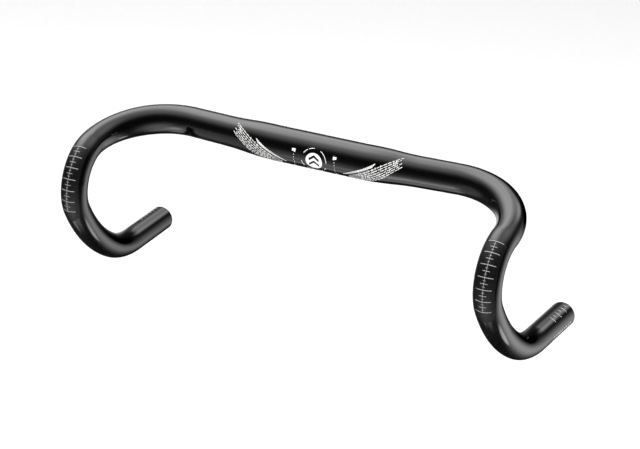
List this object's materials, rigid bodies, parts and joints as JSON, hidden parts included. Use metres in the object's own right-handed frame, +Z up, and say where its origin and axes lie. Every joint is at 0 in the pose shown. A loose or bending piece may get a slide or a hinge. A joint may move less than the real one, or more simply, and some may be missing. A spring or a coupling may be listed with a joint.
{
  "type": "drop handlebar",
  "caption": "Road-bike drop handlebar: one butted tube with a thick clamp zone, deep hooks, open ends and printed scales.",
  "frame": {"origin": "middle of the stem clamp zone, on the clamp axis", "axes": "+X along the clamp axis to the bar's right, +Y back to the rider, +Z up, with the drop ends almost level"},
  "size_m": [0.4408, 0.1883, 0.1688],
  "materials": {
    "gloss_black_tube": "gloss black lacquer over butted aluminium",
    "white_print": "white water-slide decal film"
  },
  "bodies": {
    "root": {"handlebar_tube": "gloss_black_tube", "centre_roundel_print": "white_print", "lever_scale_left": "white_print", "lever_scale_right": "white_print", "trim_scale_left": "white_print", "trim_scale_right": "white_print", "drop_label_left": "white_print", "drop_label_right": "white_print", "centring_mark_left": "white_print", "centring_mark_right": "white_print", "hatched_band_left": "white_print", "hatched_band_right": "white_print"}
  },
  "joints": []
}
